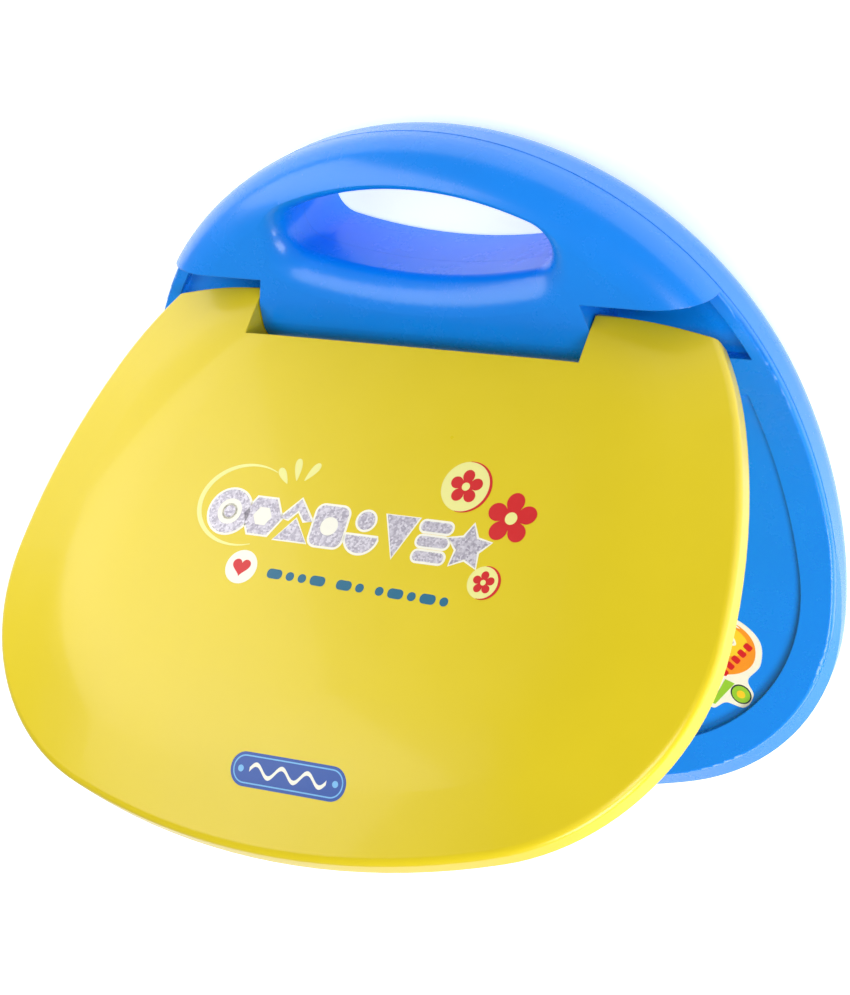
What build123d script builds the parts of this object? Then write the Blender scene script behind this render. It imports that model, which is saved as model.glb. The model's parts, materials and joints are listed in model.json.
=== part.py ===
"""Toy laptop computer: a carry-handle base with a keyboard, and a thick hinged lid with a small screen.

Frame: +Z up, X across the width, +Y towards the carry handle. The origin is on the surface that the
feet stand on, under the middle of the closed outline. All lengths are millimetres.
"""
from build123d import *
from math import atan2, cos, pi, radians, sin, tan
import os

# ---------------------------------------------------------------- driving dimensions
# heights
FOOT_HEIGHT = 1.5
BOTTOM_Z = FOOT_HEIGHT
DECK_Z = 24.5
PARTING_Z = DECK_Z - 2.5
PANEL_Z = DECK_Z - 2.0
DOME_Z = DECK_Z + 15.0
WALL = 2.2

# plan outlines, as tangent arcs from the front middle: front Y, radii, swept angles
BASE_FRONT_Y = -121.4
BASE_RADII = (212.0, 89.0, 170.0, 120.0)
BASE_SWEEPS = (16.5, 64.0, 27.0, 40.0)
LID_FRONT_Y = -120.0
LID_RADII = (242.0, 74.5, 214.0)
LID_SWEEPS = (18.0, 74.0, 19.5)
PANEL_FRONT_Y = -102.5
PANEL_RADII = (170.0, 74.0, 190.0)
PANEL_SWEEPS = (24.0, 66.0, 20.0)
PANEL_REAR_Y = 41.0

# base shells
SIDE_DRAFT = 6.0
BOTTOM_RADIUS = 15.0
PARTING_CHAMFER = 0.35
SHOULDER_DROP = 5.0
SHOULDER_SETBACK = 7.5
DECK_EDGE_RADIUS = 1.2
DOME_EDGE_RADIUS = 14.0
LIP_Y = 74.8
BOSS_HALF_WIDTH = 57.7
BOSS_FLARED_HALF_WIDTH = 59.9
BOSS_FLARE_Y = 66.0
KNUCKLE_RADIUS = 10.0
POCKET_FRONT_Y = 53.3
POCKET_INSET = 4.6
POCKET_FLOOR_Z = 20.3
POCKET_FLOOR_THICKNESS = 1.8

# finger hole of the carry handle
HOLE_FRONT_Y = 77.8
HOLE_RADII = (170.0, 8.5)
HOLE_SWEEPS = (14.1, 143.9)
HOLE_RIM_RADIUS = 8.0
HOLE_RIM_FORWARD = 0.4
HOLE_BOTTOM_RADIUS = 2.5

# hinge
HINGE_Y = 60.0
HINGE_Z = DECK_Z + 5.0
PIN_RADIUS = 2.0
PIN_CLEARANCE = 0.05
PIN_INNER_X = 52.0
PIN_OUTER_X = 73.5
REST_OPENING = 52.7

# lid
LID_GAP = 0.4
LID_RIM_Z = DECK_Z + LID_GAP
LID_TOP_Z = DECK_Z + 18.0
LID_CROWN_WIDTH = 34.0
LID_CROWN_DROP = 10.0
LID_CROWN_RADIUS = 100.0
LID_EDGE_RADIUS = 2.6
LID_WALL = 2.4
EAR_REAR_Y = 64.0
EAR_ROLL_RADIUS = 8.0
EAR_PLAN_RADIUS = 904.0
EAR_BULGE = 2.0
NOTCH_HALF_WIDTH = 60.3
NOTCH_FRONT_Y = 44.5
LID_CAVITY_REAR_Y = 42.0
BEZEL_Z = DECK_Z + 4.0
BEZEL_THICKNESS = 2.0
BEZEL_CLEARANCE = 0.6

# screen
SCREEN_Y = -36.0
SCREEN_WIDTH = 92.0
SCREEN_DEPTH = 50.0
FRAME_BORDER = 6.0
FRAME_HEIGHT = 1.2
WINDOW_THICKNESS = 1.2
LCD_THICKNESS = 3.6

# keyboard
KEY_COLUMNS = 6
KEY_ROWS = 3
KEY_PITCH_X = 24.5
KEY_PITCH_Y = 22.5
KEY_WIDTH = 19.0
KEY_DEPTH = 16.5
KEY_CENTRE_Y = 8.0
KEY_TOP_Z = PANEL_Z + 4.0
KEY_TRAVEL = 2.0
KEY_GAP = 0.4
KEY_FLANGE = 1.0
PLAY_KEY_WIDTH = 66.0
PLAY_KEY_DEPTH = 13.0
PLAY_KEY_Y = -46.0
BUTTON_RADIUS = 7.0
BUTTON_PITCH = 24.0
BUTTON_COUNT = 4
BUTTON_Y = -70.0

# electronics
BOARD_TOP_Z = 12.9
BOARD_THICKNESS = 1.6
BOARD_HALF_WIDTH = 80.0
BOARD_REAR_Y = 36.0
BOARD_FRONT_Y = -84.0
MEMBRANE_THICKNESS = 0.6
PAD_HEIGHT = 0.8
PRESS_GAP = 0.15
SPEAKER_X = -84.0
SPEAKER_Y = -52.0
SPEAKER_RADIUS = 18.0
SPEAKER_HEIGHT = 6.0
SWITCH_X = -94.0
SWITCH_Y = -4.0
SWITCH_TRAVEL = 4.0

# batteries
CELL_RADIUS = 7.1
CELL_LENGTH = 49.0
CELL_NUB = 1.2
CELL_PITCH_Y = 15.0
CELL_Z = 11.4
BAY_TOP_Z = 18.7
BAY_HALF_WIDTH = 53.5
BAY_FRONT_Y = 43.5
BAY_REAR_Y = 74.0
BAY_WALL = 1.4
DOOR_THICKNESS = 1.8
DOOR_TRAVEL = 8.0
DOOR_GAP = 0.3
DOOR_LEDGE = 2.5

# fasteners and feet
CASE_SCREWS = ((98.0, -34.0), (98.0, 26.0), (64.0, -97.0), (60.0, 90.0))
LID_SCREWS = ((88.0, -66.0), (92.0, 10.0))
LID_SCREW_LENGTH = 5.5
SCREW_RADIUS = 1.3
SCREW_HEAD_RADIUS = 2.7
SCREW_HEAD_HEIGHT = 1.8
POST_RADIUS = 3.4
FOOT_RADIUS = 6.0
FEET = ((80.0, -62.0), (74.0, 64.0))

# die-cut sticker on the deck
STICKER_CENTRE = (80.0, -58.0)
STICKER_ANGLE = 48.0
STICKER_THICKNESS = 0.15

os.makedirs("parts", exist_ok=True)


def write(builder, name):
    """Label a finished piece with its node name and write it."""
    builder.part.label = name
    export_step(builder.part, f"parts/{name}.step")


def plan_outline(front_y, radii, sweeps):
    """Closed outline symmetric about X = 0: tangent arcs from the front middle to the rear middle."""
    with BuildSketch() as plan:
        with BuildLine():
            arc = JernArc((0, front_y), (1, 0), radii[0], sweeps[0])
            for radius, sweep in zip(radii[1:], sweeps[1:]):
                arc = JernArc(arc @ 1, arc % 1, radius, sweep)
            turned = sum(sweeps)
            closing_radius = (arc @ 1).X / sin(radians(turned))
            JernArc(arc @ 1, arc % 1, closing_radius, 180 - turned)
            mirror(about=Plane.YZ)
        make_face()
    return plan.sketch


def band(low_y, high_y, half_width=200.0, inner_x=0.0):
    """Strip of the plan between two Y values, on both sides beyond inner_x."""
    with BuildSketch() as strip:
        with Locations((0, (low_y + high_y) / 2)):
            Rectangle(2 * half_width, high_y - low_y)
            if inner_x:
                Rectangle(2 * inner_x, high_y - low_y, mode=Mode.SUBTRACT)
    return strip.sketch


BASE_PLAN = plan_outline(BASE_FRONT_Y, BASE_RADII, BASE_SWEEPS)
LID_PLAN = plan_outline(LID_FRONT_Y, LID_RADII, LID_SWEEPS)
PANEL_PLAN = plan_outline(PANEL_FRONT_Y, PANEL_RADII, PANEL_SWEEPS)
HOLE_PLAN = plan_outline(HOLE_FRONT_Y, HOLE_RADII, HOLE_SWEEPS)

KEY_POSITIONS = [
    ((column - (KEY_COLUMNS - 1) / 2) * KEY_PITCH_X, KEY_CENTRE_Y + (1 - row) * KEY_PITCH_Y)
    for row in range(KEY_ROWS)
    for column in range(KEY_COLUMNS)
]
BUTTON_POSITIONS = [
    ((index - (BUTTON_COUNT - 1) / 2) * BUTTON_PITCH, BUTTON_Y) for index in range(BUTTON_COUNT)
]
CASE_SCREW_POSITIONS = [(side * x, y) for x, y in CASE_SCREWS for side in (-1, 1)]
LID_SCREW_POSITIONS = [(side * x, y) for x, y in LID_SCREWS for side in (-1, 1)]
FOOT_POSITIONS = [(side * x, y) for x, y in FEET for side in (-1, 1)]
CELL_POSITIONS = [
    (side * (CELL_LENGTH / 2 + 1.0), (BAY_FRONT_Y + BAY_REAR_Y) / 2 + row * CELL_PITCH_Y / 2)
    for row in (-1, 1)
    for side in (-1, 1)
]
DOOR_FRONT_Y = BAY_FRONT_Y - 1.0
DOOR_REAR_Y = BAY_REAR_Y + 0.5
DOOR_HALF_WIDTH = BAY_HALF_WIDTH + 1.0


# ---------------------------------------------------------------- lower shell
def set_back(grow):
    """Base outline moved back by the shoulder's depth, which leaves the front edge of the deck set back."""
    with BuildSketch() as plan:
        add(BASE_PLAN.moved(Location((0, SHOULDER_SETBACK, 0))))
        if grow:
            offset(amount=grow, mode=Mode.REPLACE)
    return plan.sketch


def shoulder_envelope(grow):
    """Everything inside the sloping front shoulder, which leans back towards the parting line."""
    with BuildPart() as envelope:
        with BuildSketch(Plane.XY.offset(PARTING_Z - SHOULDER_DROP)):
            add(BASE_PLAN)
            if grow:
                offset(amount=grow, mode=Mode.REPLACE)
        extrude(amount=-(PARTING_Z - SHOULDER_DROP) - 1)
    slope = Vector(0, SHOULDER_SETBACK, SHOULDER_DROP)
    with BuildPart() as shoulder:
        with BuildSketch(Plane.XY.offset(PARTING_Z - SHOULDER_DROP)):
            add(BASE_PLAN)
            if grow:
                offset(amount=grow, mode=Mode.REPLACE)
        extrude(amount=slope.length, dir=slope)
        add(envelope.part)
    return shoulder.part


def base_prism(inset, low_z, bottom_radius):
    """Drafted tray shape from the parting line down to low_z, with a rounded bottom edge."""
    with BuildPart() as tray:
        with BuildSketch(Plane.XY.offset(PARTING_Z)):
            add(BASE_PLAN)
            if inset:
                offset(amount=-inset, mode=Mode.REPLACE)
        extrude(amount=-(PARTING_Z - low_z), taper=SIDE_DRAFT)
        fillet(tray.edges().group_by(Axis.Z)[0], bottom_radius)
        if not inset:
            chamfer(tray.edges().group_by(Axis.Z)[-1], PARTING_CHAMFER)
        add(shoulder_envelope(-inset), mode=Mode.INTERSECT)
    return tray.part


lower_cavity = base_prism(WALL, BOTTOM_Z + WALL, BOTTOM_RADIUS - WALL)

with BuildPart() as lower_shell:
    add(base_prism(0.0, BOTTOM_Z, BOTTOM_RADIUS))
    add(lower_cavity, mode=Mode.SUBTRACT)
    # tunnel of the finger hole
    with BuildSketch(Plane.XY.offset(BOTTOM_Z)):
        add(HOLE_PLAN)
        offset(amount=WALL, mode=Mode.REPLACE)
    extrude(amount=PARTING_Z - BOTTOM_Z)
    # screw columns
    with BuildSketch(Plane.XY.offset(BOTTOM_Z)):
        with Locations(*CASE_SCREW_POSITIONS):
            Circle(SCREW_HEAD_RADIUS + 2.0)
    extrude(amount=PARTING_Z - BOTTOM_Z - 3.0)
    # walls of the battery bay
    with BuildSketch(Plane.XY.offset(BOTTOM_Z)):
        with Locations((0, (BAY_FRONT_Y + BAY_REAR_Y) / 2)):
            Rectangle(2 * (BAY_HALF_WIDTH + BAY_WALL), BAY_REAR_Y - BAY_FRONT_Y + 2 * BAY_WALL)
    extrude(amount=BAY_TOP_Z + 1.2 - BOTTOM_Z)
    # board posts
    with BuildSketch(Plane.XY.offset(BOTTOM_Z + WALL)):
        with Locations((-60, -20), (60, -20), (-60, -76), (60, -76), (-60, 30), (60, 30)):
            Circle(2.6)
    extrude(amount=BOARD_TOP_Z - BOARD_THICKNESS - BOTTOM_Z - WALL)
    # columns near the edge end at the rounded bottom
    add(base_prism(0.0, BOTTOM_Z, BOTTOM_RADIUS), mode=Mode.INTERSECT)
    # battery bay, open to the bottom
    with BuildSketch(Plane.XY.offset(BOTTOM_Z - 1)):
        with Locations((0, (BAY_FRONT_Y + BAY_REAR_Y) / 2)):
            Rectangle(2 * (BAY_HALF_WIDTH - DOOR_LEDGE), BAY_REAR_Y - BAY_FRONT_Y - 2)
    extrude(amount=10, mode=Mode.SUBTRACT)
    with BuildSketch(Plane.XY.offset(BOTTOM_Z + DOOR_THICKNESS + 0.8)):
        with Locations((0, (BAY_FRONT_Y + BAY_REAR_Y) / 2)):
            Rectangle(2 * BAY_HALF_WIDTH, BAY_REAR_Y - BAY_FRONT_Y)
    extrude(amount=BAY_TOP_Z - BOTTOM_Z - DOOR_THICKNESS - 0.8, mode=Mode.SUBTRACT)
    # door recess with the run that the door slides in
    with BuildSketch(Plane.XY.offset(BOTTOM_Z - 1)):
        with Locations((0, (DOOR_FRONT_Y - DOOR_TRAVEL + DOOR_REAR_Y) / 2)):
            RectangleRounded(
                2 * (DOOR_HALF_WIDTH + DOOR_GAP),
                DOOR_REAR_Y - DOOR_FRONT_Y + DOOR_TRAVEL + 2 * DOOR_GAP,
                3.0,
            )
    extrude(amount=1 + DOOR_THICKNESS + 0.2, mode=Mode.SUBTRACT)
    # finger hole
    with BuildSketch(Plane.XY.offset(BOTTOM_Z - 1)):
        add(HOLE_PLAN)
    extrude(amount=PARTING_Z - BOTTOM_Z + 2, mode=Mode.SUBTRACT)
    # screw holes and head counterbores
    with Locations(*[(x, y, BOTTOM_Z) for x, y in CASE_SCREW_POSITIONS]):
        Hole(SCREW_RADIUS + 0.15, depth=40)
        with Locations((0, 0, 4.0)):
            Cylinder(
                SCREW_HEAD_RADIUS + 0.3, 12.0, align=(Align.CENTER, Align.CENTER, Align.MAX), mode=Mode.SUBTRACT
            )
    # shallow seats for the rubber feet
    with BuildSketch(Plane.XY.offset(BOTTOM_Z)):
        with Locations(*FOOT_POSITIONS):
            Circle(FOOT_RADIUS + 0.1)
    extrude(amount=0.5, mode=Mode.SUBTRACT)
write(lower_shell, "lower_shell")


# ---------------------------------------------------------------- upper shell
def dome_prism(inset):
    """Solid under the rounded handle dome, over the whole plan, from the parting line up."""
    with BuildPart() as dome:
        with BuildSketch(Plane.XY.offset(PARTING_Z)):
            add(BASE_PLAN)
            if inset:
                offset(amount=-inset, mode=Mode.REPLACE)
        extrude(amount=DOME_Z - inset - PARTING_Z)
        fillet(dome.edges().group_by(Axis.Z)[-1], DOME_EDGE_RADIUS - inset)
        if not inset:
            chamfer(dome.edges().group_by(Axis.Z)[0], PARTING_CHAMFER)
    return dome.part


def boss_side_profile(inset):
    """Side view of the handle dome and its central boss, rounded over the hinge line."""
    radius = KNUCKLE_RADIUS - inset
    with BuildSketch(Plane.YZ) as side:
        with BuildLine():
            Line((130, PARTING_Z - 1), (HINGE_Y - radius, PARTING_Z - 1))
            Line((HINGE_Y - radius, PARTING_Z - 1), (HINGE_Y - radius, HINGE_Z))
            RadiusArc((HINGE_Y - radius, HINGE_Z), (HINGE_Y, HINGE_Z + radius), radius)
            Line((HINGE_Y, HINGE_Z + radius), (130, HINGE_Z + radius))
            Line((130, HINGE_Z + radius), (130, PARTING_Z - 1))
        make_face()
    return side.sketch


def handle_dome(inset):
    """Handle dome behind the lip, with the boss reaching forward between the lid's ears."""
    with BuildPart() as handle:
        with BuildSketch(Plane.XY.offset(PARTING_Z)):
            with Locations((0, LIP_Y + inset)):
                Rectangle(300, 60, align=(Align.CENTER, Align.MIN))
            with BuildLine():
                Polyline(
                    (0, LIP_Y + inset + 1),
                    (BOSS_HALF_WIDTH - inset, LIP_Y + inset + 1),
                    (BOSS_HALF_WIDTH - inset, LIP_Y),
                    (BOSS_FLARED_HALF_WIDTH - inset, BOSS_FLARE_Y),
                    (BOSS_FLARED_HALF_WIDTH - inset, LIP_Y - 40),
                    (0, LIP_Y - 40),
                )
                mirror(about=Plane.YZ)
            make_face()
        extrude(amount=30)
        add(extrude(boss_side_profile(inset), amount=150, both=True, mode=Mode.PRIVATE), mode=Mode.INTERSECT)
        add(dome_prism(inset), mode=Mode.INTERSECT)
    return handle.part


def rim_cutter():
    """Cutter that rounds the upper rim of the finger hole."""
    with BuildPart() as cutter:
        for angle in (0, 22, 45, 68, 90):
            spread = HOLE_RIM_RADIUS * (1 - cos(radians(angle)))
            level = DOME_Z - HOLE_RIM_RADIUS * (1 - sin(radians(angle)))
            with BuildSketch(Plane.XY.offset(level)):
                add(HOLE_PLAN.moved(Location((0, -HOLE_RIM_FORWARD * spread, 0))))
                if spread:
                    offset(amount=spread, mode=Mode.REPLACE)
        loft()
    return cutter.part


def pocket_plan(grow):
    """Plan of the hinge pockets beside the boss."""
    with BuildSketch() as plan:
        add(BASE_PLAN)
        offset(amount=-POCKET_INSET + grow, mode=Mode.REPLACE)
        add(band(POCKET_FRONT_Y - grow, LIP_Y + grow, inner_x=BOSS_FLARED_HALF_WIDTH - grow), mode=Mode.INTERSECT)
    return plan.sketch


def panel_sketch(grow):
    """Recessed keyboard panel."""
    with BuildSketch() as plan:
        add(PANEL_PLAN)
        if grow:
            offset(amount=grow, mode=Mode.REPLACE)
        add(band(-150, PANEL_REAR_Y + grow), mode=Mode.INTERSECT)
    return plan.sketch


with BuildPart() as upper_shell:
    # deck with a rounded edge
    with BuildSketch(Plane.XY.offset(PARTING_Z)):
        add(BASE_PLAN)
        add(set_back(0.0), mode=Mode.INTERSECT)
    extrude(amount=DECK_Z - PARTING_Z)
    fillet(upper_shell.edges().group_by(Axis.Z)[-1], DECK_EDGE_RADIUS)
    add(handle_dome(0.0))
    # hollow under the deck and inside the handle
    with BuildSketch(Plane.XY.offset(PARTING_Z)):
        add(BASE_PLAN)
        offset(amount=-WALL, mode=Mode.REPLACE)
        add(set_back(-WALL), mode=Mode.INTERSECT)
    extrude(amount=DECK_Z - PARTING_Z - WALL, mode=Mode.SUBTRACT)
    add(handle_dome(WALL), mode=Mode.SUBTRACT)
    # tunnel of the finger hole, and the wall that backs its rounded rim
    with BuildSketch(Plane.XY.offset(PARTING_Z)):
        add(HOLE_PLAN)
        offset(amount=WALL, mode=Mode.REPLACE)
    extrude(amount=DOME_Z - PARTING_Z - HOLE_RIM_RADIUS)
    with BuildSketch(Plane.XY.offset(DOME_Z - HOLE_RIM_RADIUS - WALL)):
        add(HOLE_PLAN)
        offset(amount=HOLE_RIM_RADIUS + 2.0, mode=Mode.REPLACE)
    extrude(amount=HOLE_RIM_RADIUS)
    add(dome_prism(0.0), mode=Mode.INTERSECT)
    # floor under the recessed panel and the hinge pockets
    with BuildSketch(Plane.XY.offset(PANEL_Z - WALL)):
        add(panel_sketch(WALL))
    extrude(amount=WALL)
    with BuildSketch(Plane.XY.offset(POCKET_FLOOR_Z - POCKET_FLOOR_THICKNESS)):
        add(pocket_plan(POCKET_FLOOR_THICKNESS))
    extrude(amount=DECK_Z - POCKET_FLOOR_Z)
    # screw posts that meet the columns of the lower shell, and hinge pin bearings in the boss
    for positions, top_z in (
        (CASE_SCREW_POSITIONS[:-2], DECK_Z - 1.0),
        (CASE_SCREW_POSITIONS[-2:], DOME_Z - 1.0),
    ):
        with BuildSketch(Plane.XY.offset(PARTING_Z - 2.9)):
            with Locations(*positions):
                Circle(POST_RADIUS)
        extrude(amount=top_z - PARTING_Z + 2.9)
    for side in (-1, 1):
        with BuildSketch(Plane.YZ.offset(side * (PIN_INNER_X - 3))):
            with Locations((HINGE_Y, HINGE_Z)):
                Circle(PIN_RADIUS + 2.5)
        extrude(amount=side * (BOSS_FLARED_HALF_WIDTH - PIN_INNER_X + 2))
        # bore of the hinge pin
        with BuildSketch(Plane.YZ.offset(side * PIN_INNER_X)):
            with Locations((HINGE_Y, HINGE_Z)):
                Circle(PIN_RADIUS + PIN_CLEARANCE)
        extrude(amount=side * 10, mode=Mode.SUBTRACT)
    # recessed panel, hinge pockets and finger hole
    with BuildSketch(Plane.XY.offset(PANEL_Z)):
        add(panel_sketch(0.0))
    extrude(amount=DECK_Z - PANEL_Z, mode=Mode.SUBTRACT)
    with BuildSketch(Plane.XY.offset(POCKET_FLOOR_Z)):
        add(pocket_plan(0.0))
    extrude(amount=DECK_Z - POCKET_FLOOR_Z + 1, mode=Mode.SUBTRACT)
    with BuildSketch(Plane.XY.offset(PARTING_Z - 1)):
        add(HOLE_PLAN)
    extrude(amount=DOME_Z - PARTING_Z + 2, mode=Mode.SUBTRACT)
    add(rim_cutter(), mode=Mode.SUBTRACT)
    # openings for the keys, buttons, switch and speaker
    with BuildSketch(Plane.XY.offset(PANEL_Z - WALL - 1)):
        with Locations(*KEY_POSITIONS):
            RectangleRounded(KEY_WIDTH + 2 * KEY_GAP, KEY_DEPTH + 2 * KEY_GAP, 2.4)
        with Locations((0, PLAY_KEY_Y)):
            RectangleRounded(PLAY_KEY_WIDTH + 2 * KEY_GAP, PLAY_KEY_DEPTH + 2 * KEY_GAP, 5.0)
        with Locations(*BUTTON_POSITIONS):
            Circle(BUTTON_RADIUS + KEY_GAP)
        with Locations((SWITCH_X, SWITCH_Y)):
            SlotOverall(SWITCH_TRAVEL + 7.0, 3.6, rotation=90)
        with Locations((SPEAKER_X, SPEAKER_Y)):
            with PolarLocations(5.0, 6):
                Circle(1.1)
            with PolarLocations(10.0, 12):
                Circle(1.1)
            Circle(1.1)
    extrude(amount=WALL + 2, mode=Mode.SUBTRACT)
    # pilot holes for the case screws
    with BuildSketch(Plane.XY.offset(PARTING_Z - 5)):
        with Locations(*CASE_SCREW_POSITIONS):
            Circle(SCREW_RADIUS + 0.05)
    extrude(amount=DECK_Z - PARTING_Z + 5 - 2.4, mode=Mode.SUBTRACT)
write(upper_shell, "upper_shell")


# ---------------------------------------------------------------- hinge pins
for side, hand in ((-1, "left"), (1, "right")):
    with BuildPart() as hinge_pin:
        with BuildSketch(Plane.YZ.offset(side * PIN_INNER_X)):
            with Locations((HINGE_Y, HINGE_Z)):
                Circle(PIN_RADIUS)
        extrude(amount=side * (PIN_OUTER_X - PIN_INNER_X))
        chamfer(hinge_pin.edges(), 0.4)
    write(hinge_pin, f"hinge_pin_{hand}")


# ---------------------------------------------------------------- keys and buttons
STEM_FOOT_Z = BOARD_TOP_Z + MEMBRANE_THICKNESS + PAD_HEIGHT + PRESS_GAP + KEY_TRAVEL
FLANGE_TOP_Z = PANEL_Z - WALL - 0.05


def key_body(shape, flange_shape, stem_positions, top_radius):
    """Cap above a retaining flange, with plain stems down to the membrane."""
    with BuildPart() as key:
        with BuildSketch(Plane.XY.offset(FLANGE_TOP_Z)):
            add(shape)
        extrude(amount=KEY_TOP_Z - FLANGE_TOP_Z)
        fillet(key.edges().group_by(Axis.Z)[-1], top_radius)
        with BuildSketch(Plane.XY.offset(FLANGE_TOP_Z - KEY_FLANGE)):
            add(flange_shape)
        extrude(amount=KEY_FLANGE)
        with BuildSketch(Plane.XY.offset(STEM_FOOT_Z)):
            with Locations(*stem_positions):
                Circle(2.2)
        extrude(amount=FLANGE_TOP_Z - STEM_FOOT_Z)
    return key.part


def key_shapes(x, y, width, depth, corner):
    """Cap outline and flange outline of a rectangular key."""
    with BuildSketch() as cap:
        with Locations((x, y)):
            RectangleRounded(width, depth, corner)
    with BuildSketch() as flange:
        with Locations((x, y)):
            RectangleRounded(width + 2 * KEY_GAP + 1.6, depth + 2 * KEY_GAP + 1.6, corner)
    return cap.sketch, flange.sketch


for number, (x, y) in enumerate(KEY_POSITIONS, start=1):
    cap_shape, flange_shape = key_shapes(x, y, KEY_WIDTH, KEY_DEPTH, 2.0)
    with BuildPart() as key_cap:
        add(key_body(cap_shape, flange_shape, [(x, y)], 1.2))
    write(key_cap, f"key_{number:02d}")

cap_shape, flange_shape = key_shapes(0, PLAY_KEY_Y, PLAY_KEY_WIDTH, PLAY_KEY_DEPTH, 4.6)
with BuildPart() as play_key:
    add(key_body(cap_shape, flange_shape, [(-22, PLAY_KEY_Y), (22, PLAY_KEY_Y)], 1.4))
write(play_key, "play_key")

for number, (x, y) in enumerate(BUTTON_POSITIONS, start=1):
    with BuildSketch() as button_shape:
        with Locations((x, y)):
            Circle(BUTTON_RADIUS)
    with BuildSketch() as button_flange:
        with Locations((x, y)):
            Circle(BUTTON_RADIUS + KEY_GAP + 1.0)
    with BuildPart() as mode_button:
        add(key_body(button_shape.sketch, button_flange.sketch, [(x, y)], 1.8))
    write(mode_button, f"mode_button_{number}")


# ---------------------------------------------------------------- board and membrane
def board_outline():
    """Circuit board: the keyboard area, cut back at the front corners."""
    with BuildSketch() as outline:
        with BuildLine():
            Polyline(
                (-BOARD_HALF_WIDTH, BOARD_REAR_Y),
                (BOARD_HALF_WIDTH, BOARD_REAR_Y),
                (BOARD_HALF_WIDTH, -48),
                (58, BOARD_FRONT_Y),
                (-58, BOARD_FRONT_Y),
                (-62, -30),
                (-BOARD_HALF_WIDTH, -30),
                close=True,
            )
        make_face()
    return outline.sketch


with BuildPart() as circuit_board:
    with BuildSketch(Plane.XY.offset(BOARD_TOP_Z - BOARD_THICKNESS)):
        add(board_outline())
    extrude(amount=BOARD_THICKNESS)
write(circuit_board, "circuit_board")

with BuildPart() as sound_chip:
    # moulded blob over the bare chip, on the underside of the board
    with BuildSketch(Plane.XY.offset(BOARD_TOP_Z - BOARD_THICKNESS)):
        with Locations((30, -30)):
            Circle(6.5)
    extrude(amount=-1.8, taper=30)
write(sound_chip, "sound_chip")

with BuildPart() as key_membrane:
    with BuildSketch(Plane.XY.offset(BOARD_TOP_Z)):
        add(board_outline())
        offset(amount=-2.0, mode=Mode.REPLACE)
    extrude(amount=MEMBRANE_THICKNESS)
    with BuildSketch(Plane.XY.offset(BOARD_TOP_Z + MEMBRANE_THICKNESS)):
        with Locations(*KEY_POSITIONS, *BUTTON_POSITIONS, (-22, PLAY_KEY_Y), (22, PLAY_KEY_Y)):
            Circle(4.0)
    extrude(amount=PAD_HEIGHT)
write(key_membrane, "key_membrane")


# ---------------------------------------------------------------- speaker and power switch
with BuildPart() as speaker:
    with BuildSketch(Plane.XY.offset(PANEL_Z - WALL)):
        with Locations((SPEAKER_X, SPEAKER_Y)):
            Circle(SPEAKER_RADIUS)
            Circle(SPEAKER_RADIUS - 2.5, mode=Mode.SUBTRACT)
    extrude(amount=-1.2)
    with BuildSketch(Plane.XY.offset(PANEL_Z - WALL - 1.2)):
        with Locations((SPEAKER_X, SPEAKER_Y)):
            Circle(SPEAKER_RADIUS)
    extrude(amount=-1.6)
    with BuildSketch(Plane.XY.offset(PANEL_Z - WALL - 2.8)):
        with Locations((SPEAKER_X, SPEAKER_Y)):
            Circle(8.0)
    extrude(amount=-(SPEAKER_HEIGHT - 2.8))
write(speaker, "speaker")

with BuildPart() as switch_knob:
    with BuildSketch(Plane.XY.offset(PANEL_Z - WALL - 1.2)):
        with Locations((SWITCH_X, SWITCH_Y - SWITCH_TRAVEL / 2)):
            Rectangle(8.0, 10.0)
    extrude(amount=1.1)
    with BuildSketch(Plane.XY.offset(PANEL_Z - WALL - 0.1)):
        with Locations((SWITCH_X, SWITCH_Y - SWITCH_TRAVEL / 2)):
            Rectangle(3.0, 5.0)
    extrude(amount=WALL + 0.1)
    with BuildSketch(Plane.XY.offset(PANEL_Z + 0.1)):
        with Locations((SWITCH_X, SWITCH_Y - SWITCH_TRAVEL / 2)):
            RectangleRounded(7.0, 6.0, 1.0)
    extrude(amount=2.0)
    with BuildSketch(Plane.XY.offset(PANEL_Z)):
        with Locations((SWITCH_X, SWITCH_Y - SWITCH_TRAVEL / 2)):
            Rectangle(3.0, 5.0)
    extrude(amount=0.2)
write(switch_knob, "switch_knob")

with BuildPart() as switch_body:
    with BuildSketch(Plane.XY.offset(PANEL_Z - WALL - 1.4)):
        with Locations((SWITCH_X, SWITCH_Y)):
            Rectangle(8.0, 19.0)
    extrude(amount=-4.5)
write(switch_body, "switch_body")


# ---------------------------------------------------------------- batteries
for number, (x, y) in enumerate(CELL_POSITIONS, start=1):
    # the plus end points right in the rear row and left in the front row
    facing = 1 if y > (BAY_FRONT_Y + BAY_REAR_Y) / 2 else -1
    with BuildPart() as cell:
        with BuildSketch(Plane.YZ.offset(x - CELL_LENGTH / 2 + (0 if facing > 0 else CELL_NUB))):
            with Locations((y, CELL_Z)):
                Circle(CELL_RADIUS)
        extrude(amount=CELL_LENGTH - CELL_NUB)
        fillet(cell.edges(), 0.6)
        with BuildSketch(Plane.YZ.offset(x + facing * (CELL_LENGTH / 2 - CELL_NUB))):
            with Locations((y, CELL_Z)):
                Circle(2.7)
        extrude(amount=facing * CELL_NUB)
    write(cell, f"battery_cell_{number}")

with BuildPart() as battery_contacts:
    for side in (-1, 1):
        with BuildSketch(Plane.YZ.offset(side * (BAY_HALF_WIDTH - 0.5))):
            for row in (-1, 1):
                with Locations(((BAY_FRONT_Y + BAY_REAR_Y) / 2 + row * CELL_PITCH_Y / 2, CELL_Z)):
                    Rectangle(11.0, 11.0)
        extrude(amount=side * 0.5)
write(battery_contacts, "battery_contacts")

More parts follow.
